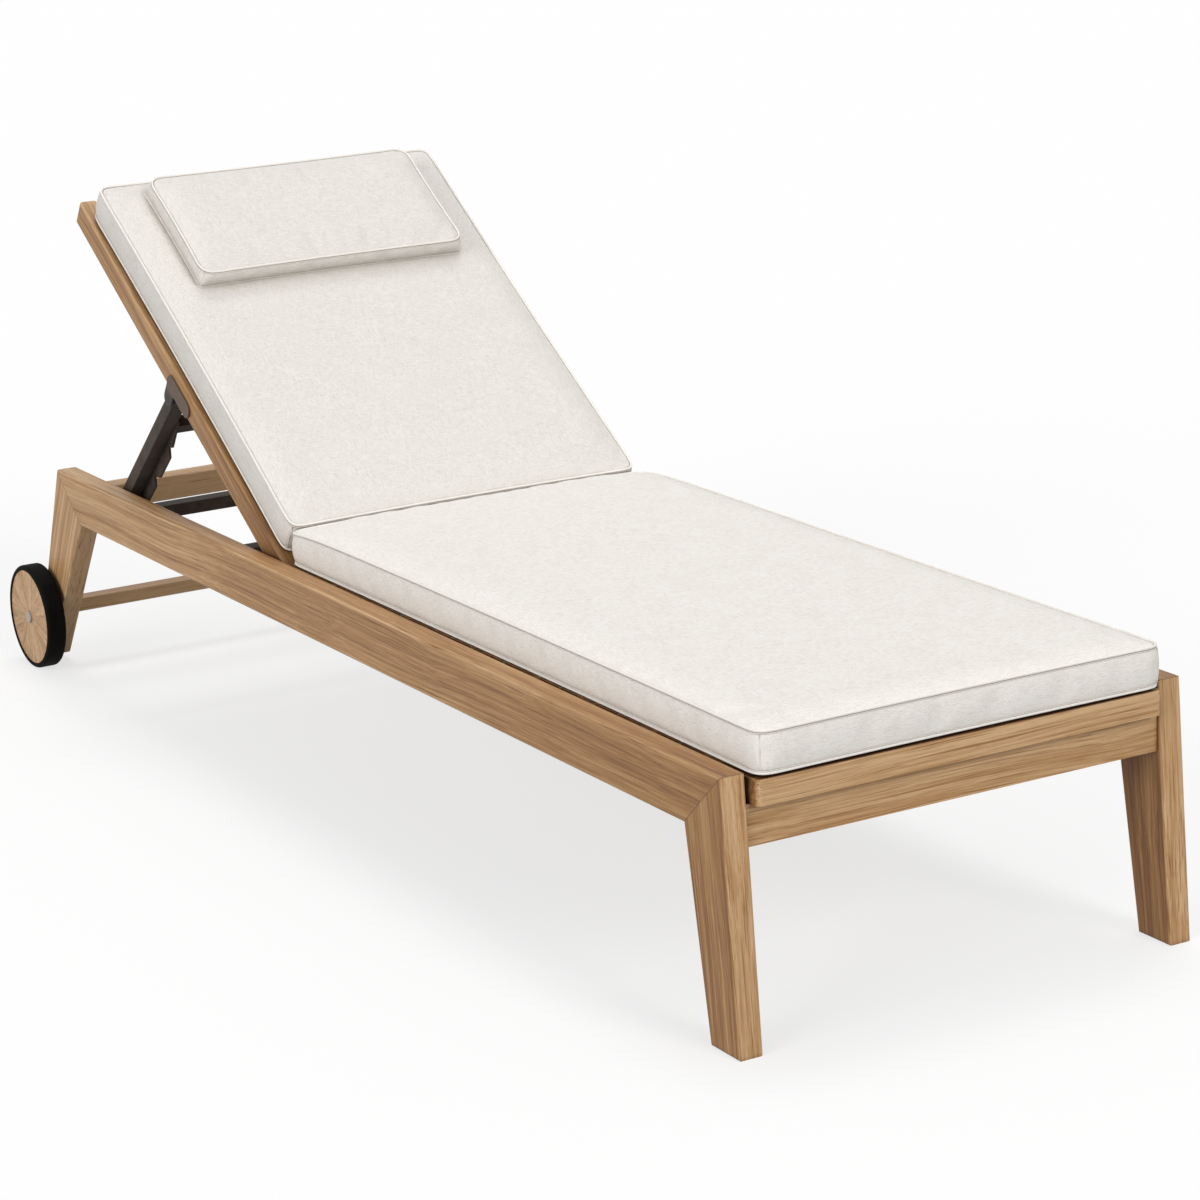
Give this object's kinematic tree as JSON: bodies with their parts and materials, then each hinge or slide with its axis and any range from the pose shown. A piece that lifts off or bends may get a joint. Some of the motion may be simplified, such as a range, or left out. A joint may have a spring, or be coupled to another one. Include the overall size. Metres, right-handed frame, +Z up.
{
  "type": "sun lounger",
  "caption": "Teak sun lounger with a slatted deck, a reclining back on a ratchet prop, wheels at the head end and loose cushions.",
  "frame": {"origin": "middle of the bounding box in X and Y, on the floor that the foot legs and the wheels stand on", "axes": "X across the lounger, +Y along it from the foot to the head, +Z up"},
  "size_m": [0.758, 2.1982, 0.8294],
  "materials": {
    "teak": "oiled teak, satin, straight grain along each piece",
    "dowel_wood": "plain beech dowel",
    "coated_steel": "dark grey-brown powder coat, satin",
    "steel": "stainless, satin",
    "tyre_rubber": "black, matte",
    "cap_plastic": "grey, matte",
    "cushion_fabric": "off-white heathered weave"
  },
  "bodies": {
    "frame": {"side_rail_left": "teak", "side_rail_right": "teak", "foot_leg_left": "teak", "foot_leg_right": "teak", "head_leg_left": "teak", "head_leg_right": "teak", "seat_ledger_left": "teak", "seat_ledger_right": "teak", "seat_slat_1": "teak", "seat_slat_2": "teak", "seat_slat_3": "teak", "seat_slat_4": "teak", "seat_slat_5": "teak", "seat_slat_6": "teak", "seat_slat_7": "teak", "seat_slat_8": "teak", "foot_slat": "teak", "foot_apron": "teak", "head_rail": "teak", "head_stretcher": "teak", "hinge_bracket_left": "coated_steel", "hinge_bracket_right": "coated_steel", "ratchet_crossbar": "coated_steel", "middle_crossbar": "coated_steel", "frame_screws": "steel", "corner_dowels": "dowel_wood", "hinge_pins": "steel", "wheel_axles": "steel", "seat_cushion": "cushion_fabric"},
    "backrest": {"back_rail_left": "teak", "back_rail_right": "teak", "back_lower_rail": "teak", "back_upper_rail": "teak", "back_slat_1": "teak", "back_slat_2": "teak", "back_slat_3": "teak", "back_slat_4": "teak", "back_slat_5": "teak", "pivot_plate_left": "coated_steel", "pivot_plate_right": "coated_steel", "pivot_ears": "coated_steel", "pivot_pins": "steel", "plate_screws": "steel", "back_cushion": "cushion_fabric", "headrest_pillow": "cushion_fabric"},
    "prop": {"prop_arm_left": "coated_steel", "prop_arm_right": "coated_steel", "ratchet_plate_left": "coated_steel", "ratchet_plate_right": "coated_steel", "prop_crossbar": "coated_steel", "plate_rivets": "steel"},
    "wheel_left": {"wheel_disc_left": "teak", "wheel_tyre_left": "tyre_rubber", "wheel_bush_left": "cap_plastic", "hub_cap_left": "cap_plastic"},
    "wheel_right": {"wheel_disc_right": "teak", "wheel_tyre_right": "tyre_rubber", "wheel_bush_right": "cap_plastic", "hub_cap_right": "cap_plastic"}
  },
  "joints": [
    {"name": "backrest_hinge", "type": "hinge", "parent": "frame", "child": "backrest", "pos_m": [0, 0.17985, 0.322], "axis": [1, 0, 0], "range_deg": [-27.5, 0]},
    {"name": "prop_pivot", "type": "hinge", "parent": "backrest", "child": "prop", "pos_m": [0, 0.54246, 0.52243], "axis": [1, 0, 0], "range_deg": [0, 75.51]},
    {"name": "wheel_spin_left", "type": "hinge", "parent": "frame", "child": "wheel_left", "pos_m": [-0.361, 1.01315, 0.086], "axis": [1, 0, 0], "continuous": true},
    {"name": "wheel_spin_right", "type": "hinge", "parent": "frame", "child": "wheel_right", "pos_m": [0.361, 1.01315, 0.086], "axis": [1, 0, 0], "continuous": true}
  ],
  "couplings": [
    {"joint": "prop_pivot", "follows": "backrest_hinge", "ratio": -2.7456}
  ]
}
